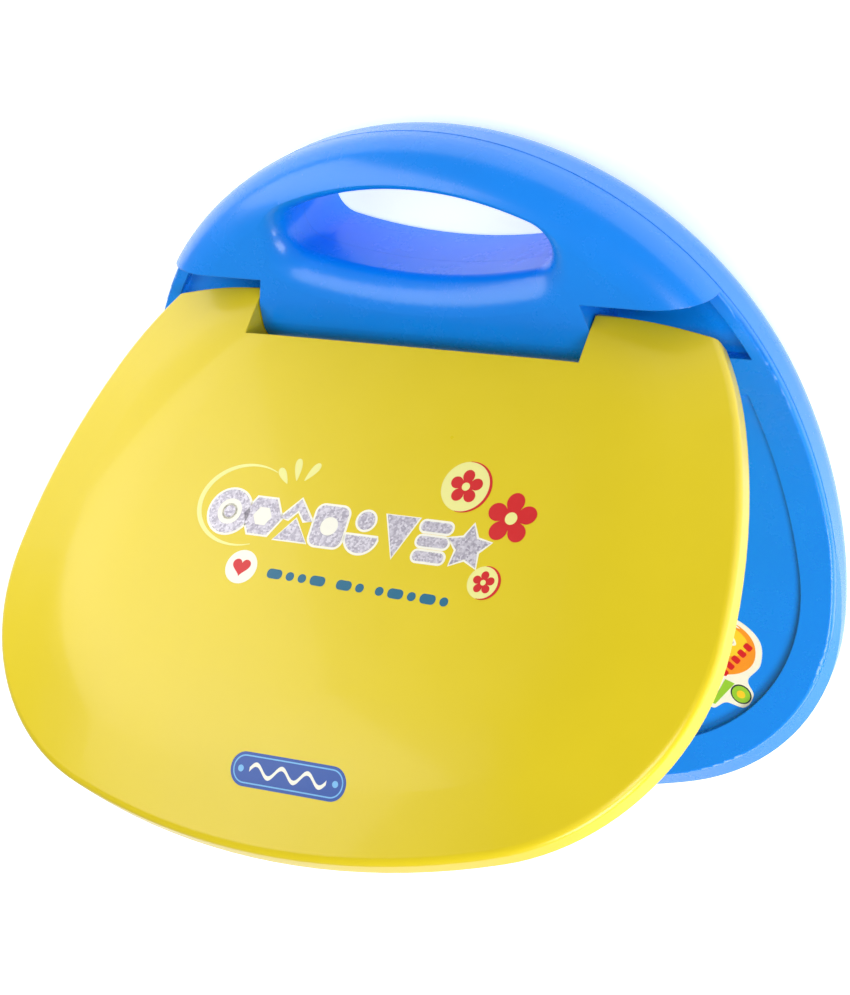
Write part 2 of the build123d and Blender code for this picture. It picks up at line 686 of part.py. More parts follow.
with BuildPart() as battery_door:
    with BuildSketch(Plane.XY.offset(BOTTOM_Z)):
        with Locations((0, (DOOR_FRONT_Y + DOOR_REAR_Y) / 2)):
            RectangleRounded(2 * DOOR_HALF_WIDTH, DOOR_REAR_Y - DOOR_FRONT_Y, 2.7)
    extrude(amount=DOOR_THICKNESS)
    # thumb grip: shallow cross grooves
    with BuildSketch(Plane.XY.offset(BOTTOM_Z)):
        with Locations(*[(0, (DOOR_FRONT_Y + DOOR_REAR_Y) / 2 + step * 3.0) for step in range(-2, 3)]):
            SlotOverall(26, 1.4)
    extrude(amount=0.6, mode=Mode.SUBTRACT)
write(battery_door, "battery_door")


# ---------------------------------------------------------------- screws, feet and sticker
with BuildPart() as case_screws:
    with Locations(*[(x, y, BOTTOM_Z + 4.0) for x, y in CASE_SCREW_POSITIONS]):
        Cylinder(SCREW_HEAD_RADIUS, SCREW_HEAD_HEIGHT, align=(Align.CENTER, Align.CENTER, Align.MAX))
        Cylinder(SCREW_RADIUS, 14.5, align=(Align.CENTER, Align.CENTER, Align.MIN))
write(case_screws, "case_screws")

with BuildPart() as rubber_feet:
    with BuildSketch():
        with Locations(*FOOT_POSITIONS):
            Circle(FOOT_RADIUS)
    extrude(amount=FOOT_HEIGHT + 0.5)
    chamfer(rubber_feet.edges().group_by(Axis.Z)[0], 0.5)
write(rubber_feet, "rubber_feet")

with BuildPart() as deck_sticker:
    with BuildSketch(Plane.XY.offset(PANEL_Z)):
        with Locations(Location((*STICKER_CENTRE, 0), (0, 0, STICKER_ANGLE))):
            Ellipse(19.0, 9.5)
    extrude(amount=STICKER_THICKNESS)
write(deck_sticker, "deck_sticker")


# ---------------------------------------------------------------- lid
def opened(shape):
    """The lid is drawn closed; this turns it about the hinge line to its rest opening."""
    hinge = Location((0, HINGE_Y, HINGE_Z))
    return hinge * Location((0, 0, 0), (-REST_OPENING, 0, 0)) * hinge.inverse() * shape


def lid_envelope(inset, rear_y):
    """Lid shape whose top falls gently to a narrow upright rim, as an offset of the outside."""
    slope = atan2(LID_CROWN_DROP, LID_CROWN_WIDTH)
    crown_width = LID_CROWN_WIDTH - inset * (1 - tan(slope / 2))
    crown_drop = LID_CROWN_DROP - inset * (1 - tan(pi / 4 - slope / 2))
    with BuildPart() as envelope:
        with BuildSketch(Plane.XY.offset(LID_RIM_Z)):
            add(LID_PLAN)
            if inset:
                offset(amount=-inset, mode=Mode.REPLACE)
        extrude(amount=LID_TOP_Z - LID_RIM_Z - inset)
        top = envelope.faces().sort_by(Axis.Z)[-1]
        chamfer(top.edges(), crown_width, crown_drop, reference=top)
        fillet(envelope.edges().group_by(Axis.Z)[-1], LID_CROWN_RADIUS - inset)
        rim_z = LID_TOP_Z - inset - crown_drop
        rim = [edge for edge in envelope.edges() if abs(edge.center().Z - rim_z) < 0.05]
        fillet(rim, max(LID_EDGE_RADIUS - inset, 0.4))
        with BuildSketch(Plane.XY.offset(LID_RIM_Z)):
            add(band(-150, rear_y))
        extrude(amount=LID_TOP_Z - LID_RIM_Z, mode=Mode.INTERSECT)
    return envelope.part


def rear_roll():
    """Very wide disc with a rolled rim; its rim gives the ears their curved, rolled rear edge."""
    with BuildPart() as roll:
        with BuildSketch(Plane.XY.offset(LID_RIM_Z)):
            with Locations((0, EAR_REAR_Y + EAR_BULGE - EAR_PLAN_RADIUS)):
                Circle(EAR_PLAN_RADIUS)
        extrude(amount=LID_TOP_Z - LID_RIM_Z)
        fillet(roll.edges().group_by(Axis.Z)[-1], EAR_ROLL_RADIUS)
    return roll.part


with BuildPart() as lid_shell:
    add(lid_envelope(0.0, EAR_REAR_Y + EAR_BULGE + 5))
    add(rear_roll(), mode=Mode.INTERSECT)
    # hollow inside, closed at the ears
    add(lid_envelope(LID_WALL, LID_CAVITY_REAR_Y), mode=Mode.SUBTRACT)
    # notch around the boss
    with BuildSketch(Plane.XY.offset(LID_RIM_Z - 1)):
        with Locations((0, NOTCH_FRONT_Y)):
            Rectangle(2 * NOTCH_HALF_WIDTH, 40, align=(Align.CENTER, Align.MIN))
    extrude(amount=25, mode=Mode.SUBTRACT)
    # pin bores in the ears
    for side in (-1, 1):
        with BuildSketch(Plane.YZ.offset(side * (NOTCH_HALF_WIDTH - 1))):
            with Locations((HINGE_Y, HINGE_Z)):
                Circle(PIN_RADIUS + PIN_CLEARANCE)
        extrude(amount=side * (PIN_OUTER_X + 0.5 - NOTCH_HALF_WIDTH + 1), mode=Mode.SUBTRACT)
    # screw posts for the inner panel
    with BuildSketch(Plane.XY.offset(BEZEL_Z + BEZEL_THICKNESS)):
        with Locations(*LID_SCREW_POSITIONS):
            Circle(POST_RADIUS)
    extrude(amount=LID_TOP_Z - LID_WALL + 0.5 - BEZEL_Z - BEZEL_THICKNESS)
    add(lid_envelope(0.0, EAR_REAR_Y + EAR_BULGE + 5), mode=Mode.INTERSECT)
    with BuildSketch(Plane.XY.offset(BEZEL_Z)):
        with Locations(*LID_SCREW_POSITIONS):
            Circle(SCREW_RADIUS + 0.05)
    extrude(amount=LID_SCREW_LENGTH + 0.5, mode=Mode.SUBTRACT)
lid_shell.part = opened(lid_shell.part)
write(lid_shell, "lid_shell")

with BuildPart() as lid_panel:
    # inner panel set into the lid's rim
    with BuildSketch(Plane.XY.offset(BEZEL_Z)):
        add(LID_PLAN)
        offset(amount=-LID_WALL - BEZEL_CLEARANCE, mode=Mode.REPLACE)
        add(band(-150, LID_CAVITY_REAR_Y - BEZEL_CLEARANCE), mode=Mode.INTERSECT)
    extrude(amount=BEZEL_THICKNESS)
    # raised frame around the screen
    with BuildSketch(Plane.XY.offset(BEZEL_Z - FRAME_HEIGHT)):
        with Locations((0, SCREEN_Y)):
            RectangleRounded(SCREEN_WIDTH + 2 * FRAME_BORDER, SCREEN_DEPTH + 2 * FRAME_BORDER, 7.0)
    extrude(amount=FRAME_HEIGHT)
    chamfer(lid_panel.edges().group_by(Axis.Z)[0], 0.8)
    with BuildSketch(Plane.XY.offset(BEZEL_Z - FRAME_HEIGHT)):
        with Locations((0, SCREEN_Y)):
            RectangleRounded(SCREEN_WIDTH + 0.3, SCREEN_DEPTH + 0.3, 2.1)
    extrude(amount=WINDOW_THICKNESS + 0.1, mode=Mode.SUBTRACT)
    with BuildSketch(Plane.XY.offset(BEZEL_Z - FRAME_HEIGHT)):
        with Locations((0, SCREEN_Y)):
            RectangleRounded(SCREEN_WIDTH - 6, SCREEN_DEPTH - 6, 2.0)
    extrude(amount=10, mode=Mode.SUBTRACT)
    with Locations(*[(x, y, BEZEL_Z) for x, y in LID_SCREW_POSITIONS]):
        Cylinder(SCREW_RADIUS + 0.1, 20, mode=Mode.SUBTRACT)
lid_panel.part = opened(lid_panel.part)
write(lid_panel, "lid_panel")

with BuildPart() as screen_window:
    with BuildSketch(Plane.XY.offset(BEZEL_Z - FRAME_HEIGHT + 0.05)):
        with Locations((0, SCREEN_Y)):
            RectangleRounded(SCREEN_WIDTH, SCREEN_DEPTH, 2.0)
    extrude(amount=WINDOW_THICKNESS)
screen_window.part = opened(screen_window.part)
write(screen_window, "screen_window")

with BuildPart() as lcd_module:
    with BuildSketch(Plane.XY.offset(BEZEL_Z + BEZEL_THICKNESS + 0.05)):
        with Locations((0, SCREEN_Y)):
            Rectangle(SCREEN_WIDTH + 2, SCREEN_DEPTH + 4)
    extrude(amount=LCD_THICKNESS)
lcd_module.part = opened(lcd_module.part)
write(lcd_module, "lcd_module")

with BuildPart() as lid_screws:
    with Locations(*[(x, y, BEZEL_Z - 0.05) for x, y in LID_SCREW_POSITIONS]):
        Cylinder(SCREW_HEAD_RADIUS, 1.2, align=(Align.CENTER, Align.CENTER, Align.MAX))
        Cylinder(SCREW_RADIUS, LID_SCREW_LENGTH, align=(Align.CENTER, Align.CENTER, Align.MIN))
lid_screws.part = opened(lid_screws.part)
write(lid_screws, "lid_screws")
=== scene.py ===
"""Looks of the toy laptop: moulded plastic shells, printed lid graphics, keys, screen and studio light.

Flat drawings are in millimetres, in the plan of the closed toy. Blender's objects are in metres.
"""
import json
import math

import bmesh
import bpy
from mathutils import Matrix, Vector
from mathutils.bvhtree import BVHTree


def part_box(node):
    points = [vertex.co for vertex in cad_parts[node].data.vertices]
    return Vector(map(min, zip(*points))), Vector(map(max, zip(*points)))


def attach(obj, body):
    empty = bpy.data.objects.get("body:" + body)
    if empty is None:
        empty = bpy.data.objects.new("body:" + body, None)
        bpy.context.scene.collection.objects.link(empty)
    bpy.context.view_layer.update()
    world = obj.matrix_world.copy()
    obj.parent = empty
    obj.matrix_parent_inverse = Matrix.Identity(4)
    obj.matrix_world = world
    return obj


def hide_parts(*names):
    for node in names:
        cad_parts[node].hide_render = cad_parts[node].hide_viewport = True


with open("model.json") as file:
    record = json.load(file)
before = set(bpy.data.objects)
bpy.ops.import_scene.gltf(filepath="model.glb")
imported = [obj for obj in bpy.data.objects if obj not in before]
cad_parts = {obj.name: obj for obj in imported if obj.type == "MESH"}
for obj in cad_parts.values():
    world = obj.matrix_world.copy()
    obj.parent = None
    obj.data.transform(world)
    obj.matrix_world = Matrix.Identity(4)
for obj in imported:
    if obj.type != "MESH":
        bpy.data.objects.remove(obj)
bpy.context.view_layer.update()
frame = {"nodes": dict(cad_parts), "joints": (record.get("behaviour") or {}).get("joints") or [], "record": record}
MM = 0.001
DRAPE_STEP = 3 * MM


# ---------------------------------------------------------------- camera
CAMERA_AZIMUTH = 132.76
CAMERA_ELEVATION = 47.77
CAMERA_ROLL = -134.62
CAMERA_TARGET = Vector((0.0021, 0.0117, 0.0576))
CAMERA_DISTANCE = 0.9643
CAMERA_LENS = 110.06


def make_camera():
    """Camera behind and to the right of the toy, turned so that the handle is up."""
    azimuth, elevation = math.radians(CAMERA_AZIMUTH), math.radians(CAMERA_ELEVATION)
    back = Vector((
        math.sin(azimuth) * math.cos(elevation),
        -math.cos(azimuth) * math.cos(elevation),
        math.sin(elevation),
    ))
    data = bpy.data.cameras.new("camera")
    data.lens = CAMERA_LENS
    made = bpy.data.objects.new("camera", data)
    bpy.context.collection.objects.link(made)
    level = (-back).to_track_quat("-Z", "Y").to_matrix()
    roll = Matrix.Rotation(math.radians(CAMERA_ROLL), 3, "Z")
    made.matrix_world = Matrix.Translation(CAMERA_TARGET + back * CAMERA_DISTANCE) @ (level @ roll).to_4x4()
    bpy.context.scene.camera = made
    return made


camera = make_camera()


# ---------------------------------------------------------------- materials
def srgb(red, green, blue):
    """Linear colour of a screen colour given in 0..255."""
    return tuple(
        c / 12.92 if c <= 0.04045 else ((c + 0.055) / 1.055) ** 2.4
        for c in (red / 255, green / 255, blue / 255)
    )


def new_material(name):
    """Empty node material with its Principled shader."""
    material = bpy.data.materials.new(name)
    material.use_nodes = True
    return material, material.node_tree, material.node_tree.nodes["Principled BSDF"]


def noise(tree, scale, detail=3.0, roughness=0.5):
    """Noise in object coordinates, so that its grain has one real size."""
    coords = tree.nodes.new("ShaderNodeTexCoord")
    made = tree.nodes.new("ShaderNodeTexNoise")
    made.inputs["Scale"].default_value = scale
    made.inputs["Detail"].default_value = detail
    made.inputs["Roughness"].default_value = roughness
    tree.links.new(coords.outputs["Object"], made.inputs["Vector"])
    return made.outputs["Fac"]


def ramp(tree, source, stops):
    """Colour ramp through (position, colour) stops."""
    made = tree.nodes.new("ShaderNodeValToRGB")
    elements = made.color_ramp.elements
    while len(elements) < len(stops):
        elements.new(0.5)
    for element, (position, colour) in zip(elements, stops):
        element.position = position
        element.color = (*colour, 1)
    tree.links.new(source, made.inputs["Fac"])
    return made.outputs["Color"]


def remap(tree, source, low, high):
    """Maps 0..1 to low..high."""
    made = tree.nodes.new("ShaderNodeMapRange")
    made.inputs["To Min"].default_value = low
    made.inputs["To Max"].default_value = high
    tree.links.new(source, made.inputs["Value"])
    return made.outputs["Result"]


def shade(colour, amount):
    """Colour made lighter (amount above 1) or darker."""
    return tuple(min(1.0, c * amount) for c in colour)


def moulded(name, colour, roughness, mottle=0.05, spark=0.12, spark_size=1400.0, coat=0.0, edge=0.0):
    """Moulded plastic: faint flow marks in the colour, uneven gloss, a fine spark-eroded grain."""
    material, tree, shader = new_material(name)
    flow = noise(tree, 18.0, 4.0, 0.55)
    tint = ramp(tree, flow, [(0.3, shade(colour, 1 - mottle)), (0.7, shade(colour, 1 + mottle))])
    tree.links.new(tint, shader.inputs["Base Color"])
    handling = noise(tree, 75.0, 6.0, 0.65)
    gloss = remap(tree, handling, roughness * 0.8, roughness * 1.25)
    tree.links.new(gloss, shader.inputs["Roughness"])
    relief = tree.nodes.new("ShaderNodeBump")
    relief.inputs["Strength"].default_value = spark
    relief.inputs["Distance"].default_value = 0.00008
    tree.links.new(noise(tree, spark_size, 2.0, 0.6), relief.inputs["Height"])
    tree.links.new(relief.outputs["Normal"], shader.inputs["Normal"])
    if edge:
        bevel = tree.nodes.new("ShaderNodeBevel")
        bevel.samples = 4
        bevel.inputs["Radius"].default_value = edge
        tree.links.new(bevel.outputs["Normal"], relief.inputs["Normal"])
    shader.inputs["IOR"].default_value = 1.53
    shader.inputs["Coat Weight"].default_value = coat
    shader.inputs["Coat Roughness"].default_value = 0.06
    return material


def metal(name, colour, roughness):
    """Plated metal with fine scratches."""
    material, tree, shader = new_material(name)
    shader.inputs["Metallic"].default_value = 1.0
    scratches = noise(tree, 420.0, 4.0, 0.7)
    tint = ramp(tree, scratches, [(0.3, shade(colour, 0.8)), (0.7, colour)])
    tree.links.new(tint, shader.inputs["Base Color"])
    tree.links.new(remap(tree, scratches, roughness * 0.7, roughness * 1.4), shader.inputs["Roughness"])
    return material


def glitter_foil(name, dark, light):
    """Silvery foil print with fine glitter."""
    material, tree, shader = new_material(name)
    coords = tree.nodes.new("ShaderNodeTexCoord")
    flakes = tree.nodes.new("ShaderNodeTexVoronoi")
    flakes.inputs["Scale"].default_value = 1500.0
    tree.links.new(coords.outputs["Object"], flakes.inputs["Vector"])
    tint = ramp(tree, flakes.outputs["Color"], [(0.2, dark), (0.8, light)])
    tree.links.new(tint, shader.inputs["Base Color"])
    shader.inputs["Metallic"].default_value = 0.35
    shader.inputs["Roughness"].default_value = 0.38
    relief = tree.nodes.new("ShaderNodeBump")
    relief.inputs["Strength"].default_value = 0.25
    relief.inputs["Distance"].default_value = 0.0001
    tree.links.new(flakes.outputs["Distance"], relief.inputs["Height"])
    tree.links.new(relief.outputs["Normal"], shader.inputs["Normal"])
    return material


def board_material(name):
    """Green solder mask with a faint grid of copper tracks under it."""
    material, tree, shader = new_material(name)
    coords = tree.nodes.new("ShaderNodeTexCoord")
    tracks = tree.nodes.new("ShaderNodeTexBrick")
    tracks.inputs["Color1"].default_value = (*srgb(20, 92, 48), 1)
    tracks.inputs["Color2"].default_value = (*srgb(24, 100, 54), 1)
    tracks.inputs["Mortar"].default_value = (*srgb(60, 150, 80), 1)
    tracks.inputs["Scale"].default_value = 60.0
    tracks.inputs["Mortar Size"].default_value = 0.03
    tree.links.new(coords.outputs["Object"], tracks.inputs["Vector"])
    tree.links.new(tracks.outputs["Color"], shader.inputs["Base Color"])
    shader.inputs["Roughness"].default_value = 0.3
    return material


def window_material(name):
    """Clear screen window with faint smudges."""
    material, tree, shader = new_material(name)
    shader.inputs["Base Color"].default_value = (0.96, 0.98, 0.98, 1)
    shader.inputs["Transmission Weight"].default_value = 1.0
    shader.inputs["IOR"].default_value = 1.49
    tree.links.new(remap(tree, noise(tree, 40.0, 4.0), 0.02, 0.07), shader.inputs["Roughness"])
    return material


BLUE = moulded("blue_plastic", srgb(0, 138, 250), 0.26, spark=0.10, coat=0.12, edge=0.0005)
YELLOW = moulded("yellow_plastic", srgb(230, 206, 14), 0.30, mottle=0.02, spark=0.12, coat=0.15, edge=0.0006)
RED_KEY = moulded("red_key", srgb(222, 34, 38), 0.30)
YELLOW_KEY = moulded("yellow_key", srgb(250, 196, 20), 0.30)
GREEN_KEY = moulded("green_key", srgb(46, 170, 72), 0.30)
ORANGE_KEY = moulded("orange_key", srgb(245, 130, 24), 0.28)
WHITE_KEY = moulded("white_key", srgb(236, 236, 230), 0.32)
BLACK = moulded("black_plastic", srgb(28, 28, 30), 0.45)
RUBBER = moulded("rubber", srgb(42, 42, 44), 0.75, spark=0.4, spark_size=700.0)
SILICONE = moulded("silicone", srgb(172, 176, 180), 0.6)
LCD_GREEN = moulded("lcd_reflector", srgb(150, 168, 138), 0.35, mottle=0.03)
JACKET = moulded("cell_jacket", srgb(40, 60, 84), 0.25, coat=0.5)
STEEL = metal("zinc_steel", (0.62, 0.62, 0.65), 0.3)
BOARD = board_material("solder_mask")
WINDOW = window_material("clear_window")

PRINT_WHITE = moulded("print_white", srgb(250, 248, 232), 0.35, mottle=0.02)
PRINT_CREAM = moulded("print_cream", srgb(244, 240, 150), 0.35, mottle=0.03)
PRINT_RED = moulded("print_red", srgb(214, 24, 28), 0.32, mottle=0.05)
PRINT_TEAL = moulded("print_teal", srgb(0, 104, 138), 0.35, mottle=0.05)
PRINT_BLUE = moulded("print_blue", srgb(16, 78, 168), 0.30, mottle=0.05)
PRINT_SKY = moulded("print_sky", srgb(120, 190, 240), 0.32, mottle=0.04)
PRINT_ORANGE = moulded("print_orange", srgb(246, 150, 30), 0.32, mottle=0.10)
PRINT_GOLD = moulded("print_gold", srgb(250, 206, 40), 0.32, mottle=0.10)
PRINT_GREEN = moulded("print_green", srgb(150, 205, 50), 0.32, mottle=0.08)
PRINT_VIOLET = moulded("print_violet", srgb(84, 60, 140), 0.34, mottle=0.06)
PRINT_DARK = moulded("print_dark", srgb(40, 52, 60), 0.40, mottle=0.04)
FOIL = glitter_foil("silver_foil", srgb(168, 162, 176), srgb(222, 218, 226))

SLOTS = {
    "base_blue": BLUE,
    "lid_yellow": YELLOW,
    "key_red": RED_KEY,
    "key_yellow": YELLOW_KEY,
    "key_green": GREEN_KEY,
    "key_white": WHITE_KEY,
    "button_red": RED_KEY,
    "button_orange": ORANGE_KEY,
    "button_green": GREEN_KEY,
    "button_white": WHITE_KEY,
    "switch_black": BLACK,
    "speaker_black": BLACK,
    "board_green": BOARD,
    "chip_black": BLACK,
    "membrane_grey": SILICONE,
    "contact_metal": STEEL,
    "steel": STEEL,
    "foot_rubber": RUBBER,
    "cell_jacket": JACKET,
    "lcd_grey": LCD_GREEN,
    "clear_window": WINDOW,
    "sticker": PRINT_WHITE,
}
for part in frame["record"]["subparts"]:
    body_mesh = frame["nodes"][part["node"]].data
    body_mesh.materials.clear()
    body_mesh.materials.append(SLOTS[part["material_slot"]])


# ---------------------------------------------------------------- closed lid and flat drawings
HINGE = next(joint for joint in frame["joints"] if joint["name"] == "lid_hinge")
OPENING = Matrix.Rotation(math.radians(-HINGE["range_deg"][0]), 4, Vector(HINGE["axis"]))
PIVOT = Matrix.Translation(Vector(HINGE["pos_m"]))
LID_TO_REST = PIVOT @ OPENING @ PIVOT.inverted()


def closed_heights(name):
    """Lowest and highest point, in metres, of a lid node when the lid is shut."""
    to_closed = LID_TO_REST.inverted()
    heights = [(to_closed @ vertex.co).z for vertex in frame["nodes"][name].data.vertices]
    return min(heights), max(heights)


def circle(x, y, radius, count=40, start=0.0, end=360.0):
    """Points round a circle or arc."""
    turns = count if end - start >= 360.0 else count - 1
    return [
        (
            x + radius * math.cos(math.radians(start + (end - start) * k / turns)),
            y + radius * math.sin(math.radians(start + (end - start) * k / turns)),
        )
        for k in range(count)
    ]


def polygon(x, y, radius, sides, turn=0.0):
    """Regular polygon."""
    return circle(x, y, radius, sides, turn, turn + 360.0)


def star(x, y, radius, points=5, inner=0.45, turn=90.0):
    """Star with straight sides."""
    return [
        (
            x + radius * (1.0 if k % 2 == 0 else inner) * math.cos(math.radians(turn + 180.0 * k / points)),
            y + radius * (1.0 if k % 2 == 0 else inner) * math.sin(math.radians(turn + 180.0 * k / points)),
        )
        for k in range(2 * points)
    ]


def petals(x, y, radius, count=5, waist=0.42, turn=90.0):
    """Round-petalled flower outline."""
    steps = 24 * count
    outline = []
    for k in range(steps):
        angle = 2 * math.pi * k / steps
        reach = radius * (waist + (1 - waist) * abs(math.cos(count * angle / 2)) ** 0.55)
        heading = angle + math.radians(turn)
        outline.append((x + reach * math.cos(heading), y + reach * math.sin(heading)))
    return outline


def heart(x, y, size):
    """Heart outline."""
    outline = []
    for k in range(48):
        t = 2 * math.pi * k / 48
        width = math.sin(t) ** 3
        height = (13 * math.cos(t) - 5 * math.cos(2 * t) - 2 * math.cos(3 * t) - math.cos(4 * t)) / 16
        outline.append((x + size * width, y + size * height))
    return outline


def rounded_box(x, y, width, height, corner, turn=0.0):
    """Rounded rectangle about its centre."""
    outline = []
    for sx, sy, start in ((1, 1, 0), (-1, 1, 90), (-1, -1, 180), (1, -1, 270)):
        centre_x, centre_y = sx * (width / 2 - corner), sy * (height / 2 - corner)
        outline += circle(centre_x, centre_y, corner, 9, start, start + 90)
    tilt = math.radians(turn)
    return [
        (x + u * math.cos(tilt) - v * math.sin(tilt), y + u * math.sin(tilt) + v * math.cos(tilt))
        for u, v in outline
    ]


def swoosh(x, y, radius_x, radius_y, start, end, width, tip=0.15):
    """Elliptical stroke that swells in its middle and tapers to both ends."""
    outer, inner = [], []
    for k in range(49):
        share = k / 48
        angle = math.radians(start + (end - start) * share)
        half = width / 2 * (tip + (1 - tip) * math.sin(math.pi * share))
        outer.append((x + (radius_x + half) * math.cos(angle), y + (radius_y + half) * math.sin(angle)))
        inner.append((x + (radius_x - half) * math.cos(angle), y + (radius_y - half) * math.sin(angle)))
    return outer + inner[::-1]


def leaf(x, y, length, width, turn):
    """Drop-shaped splash that points away from the word block."""
    outline = []
    for k in range(33):
        t = 2 * math.pi * k / 32
        along = length / 2 * math.cos(t)
        across = width / 2 * math.sin(t) * (1 + 0.55 * math.cos(t))
        tilt = math.radians(turn)
        outline.append((
            x + along * math.cos(tilt) - across * math.sin(tilt),
            y + along * math.sin(tilt) + across * math.cos(tilt),
        ))
    return outline[:-1]


def wave(x, y, length, swing, waves, width, turn=0.0):
    """Wavy stroke."""
    top, bottom = [], []
    tilt = math.radians(turn)
    for k in range(61):
        u = length * (k / 60 - 0.5)
        v = swing * math.sin(2 * math.pi * waves * k / 60)
        for side, row in ((width / 2, top), (-width / 2, bottom)):
            row.append((
                x + u * math.cos(tilt) - (v + side) * math.sin(tilt),
                y + u * math.sin(tilt) + (v + side) * math.cos(tilt),
            ))
    return top + bottom[::-1]


def smooth_loop(points, steps=10):
    """Closed smooth curve through a few points."""
    outline = []
    count = len(points)
    for k in range(count):
        before, here, after, beyond = (points[(k + shift) % count] for shift in (-1, 0, 1, 2))
        for step in range(steps):
            t = step / steps
            outline.append(tuple(
                0.5 * (2 * h + (a - b) * t + (2 * b - 5 * h + 4 * a - c) * t * t
                       + (3 * h - b - 3 * a + c) * t ** 3)
                for b, h, a, c in zip(before, here, after, beyond)
            ))
    return outline


def grown(outline, amount):
    """Outline moved outwards by amount along its own normals."""
    area = sum(
        a[0] * b[1] - b[0] * a[1] for a, b in zip(outline, outline[1:] + outline[:1])
    )
    side = amount if area > 0 else -amount
    moved = []
    for k, here in enumerate(outline):
        before, after = outline[k - 1], outline[(k + 1) % len(outline)]
        along = Vector((after[0] - before[0], after[1] - before[1]))
        if along.length > 0:
            along.normalize()
        moved.append((here[0] + along.y * side, here[1] - along.x * side))
    return moved


def drape(mesh, drop):
    """Cuts a flat mesh into small squares and lets it down on to a curved surface."""
    cut = bmesh.new()
    cut.from_mesh(mesh)
    bmesh.ops.remove_doubles(cut, verts=cut.verts, dist=1e-6)
    for axis in (0, 1):
        low = min(vertex.co[axis] for vertex in cut.verts)
        high = max(vertex.co[axis] for vertex in cut.verts)
        normal = Vector((1 - axis, axis, 0))
        for step in range(1, int((high - low) / DRAPE_STEP) + 1):
            everything = cut.verts[:] + cut.edges[:] + cut.faces[:]
            place = normal * (low + step * DRAPE_STEP)
            bmesh.ops.bisect_plane(cut, geom=everything, plane_co=place, plane_no=normal)
    for vertex in cut.verts:
        vertex.co.z -= drop(vertex.co.x, vertex.co.y)
    cut.to_mesh(mesh)
    cut.free()


def print_plate(name, loops, material, body, base_z, thickness, drop=None):
    """Thin printed or moulded plate from flat loops, standing on base_z (metres) and riding on a body."""
    curve = bpy.data.curves.new(name, "CURVE")
    curve.dimensions = "2D"
    curve.fill_mode = "BOTH"
    curve.extrude = thickness / 2
    for loop in loops:
        spline = curve.splines.new("POLY")
        spline.points.add(len(loop) - 1)
        for point, (x, y) in zip(spline.points, loop):
            point.co = (x * MM, y * MM, 0, 1)
        spline.use_cyclic_u = True
    drawn = bpy.data.objects.new(name + "_drawn", curve)
    bpy.context.collection.objects.link(drawn)
    bpy.context.view_layer.update()
    mesh = bpy.data.meshes.new_from_object(drawn.evaluated_get(bpy.context.evaluated_depsgraph_get()))
    bpy.data.objects.remove(drawn)
    if drop:
        drape(mesh, drop)
    return settle(name, mesh, material, body, base_z + thickness / 2)


def settle(name, mesh, material, body, height):
    """Lifts a flat mesh to its height, turns it with the lid if it is on the lid, welds it and rides it."""
    place = Matrix.Translation((0, 0, height))
    if body == "lid":
        place = LID_TO_REST @ place
    mesh.transform(place)
    welded = bmesh.new()
    welded.from_mesh(mesh)
    bmesh.ops.remove_doubles(welded, verts=welded.verts, dist=1e-6)
    bmesh.ops.recalc_face_normals(welded, faces=welded.faces)
    welded.to_mesh(mesh)
    welded.free()
    mesh.name = name
    mesh.materials.clear()
    mesh.materials.append(material)
    piece = bpy.data.objects.new(name, mesh)
    bpy.context.collection.objects.link(piece)
    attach(piece, body)
    return piece


# ---------------------------------------------------------------- lid print
LID_TOP = closed_heights("lid_shell")[1]
SUNK = 0.03 * MM
LAYER = 0.05 * MM


LID_TREE = BVHTree.FromPolygons(
    [LID_TO_REST.inverted() @ vertex.co for vertex in frame["nodes"]["lid_shell"].data.vertices],
    [tuple(face.vertices) for face in frame["nodes"]["lid_shell"].data.polygons],
)


def lid_drop(x, y):
    """How far the crowned lid lies below its highest level at a place of the closed plan, in metres."""
    hit = LID_TREE.ray_cast(Vector((x, y, 0.1)), Vector((0, 0, -1)))[0]
    return LID_TOP - hit.z


def lid_print(name, loops, material, layer=1):
    """Print on the lid's outside; a higher layer lies over a lower one."""
    thickness = SUNK + layer * LAYER
    return print_plate(name, loops, material, "lid", LID_TOP - SUNK, thickness, lid_drop)


def block_shapes():
    """Row of eight plain shapes in the place of the big title, each with its hole, if it has one."""
    pitch = 12.3
    for k in range(8):
        x = -43.6 + pitch * k
        y = -17.0 - 0.32 * k
        r = 7.0
        if k == 0:
            yield [circle(x, y, 7.4), circle(x, y, 4.3)]
            yield [circle(x, y, 2.0)]
        elif k == 1:
            yield [polygon(x, y, r, 6), polygon(x, y, 3.4, 6)]
        elif k == 2:
            yield [[(x - 5.8, y - 6.6), (x, y + 0.6), (x + 5.8, y - 6.6)]]
            yield [[(x - 5.8, y + 0.4), (x, y + 7.4), (x + 5.8, y + 0.4), (x + 3.0, y + 0.4), (x, y + 3.6),
                    (x - 3.0, y + 0.4)]]
        elif k == 3:
            yield [rounded_box(x, y, 11.4, 13.4, 2.6), circle(x, y, 3.1)]
        elif k == 4:
            yield [circle(x, y - 1.6, 5.6, 24, 180, 360)]
            yield [circle(x, y + 3.6, 3.0)]
        elif k == 5:
            yield [[(x - 5.6, y + 6.8), (x + 5.6, y + 6.8), (x, y - 6.8)]]
        elif k == 6:
            for step in (-1, 0, 1):
                yield [rounded_box(x, y + 4.9 * step, 10.6, 3.3, 1.5)]
        else:
            yield [star(x, y, 7.6, 5, 0.5)]


for number, loops in enumerate(block_shapes(), start=1):
    lid_print(f"title_edge_{number:02d}", [grown(loops[0], 0.75)], PRINT_WHITE, 1)
    lid_print(f"title_shape_{number:02d}", loops, FOIL, 2)

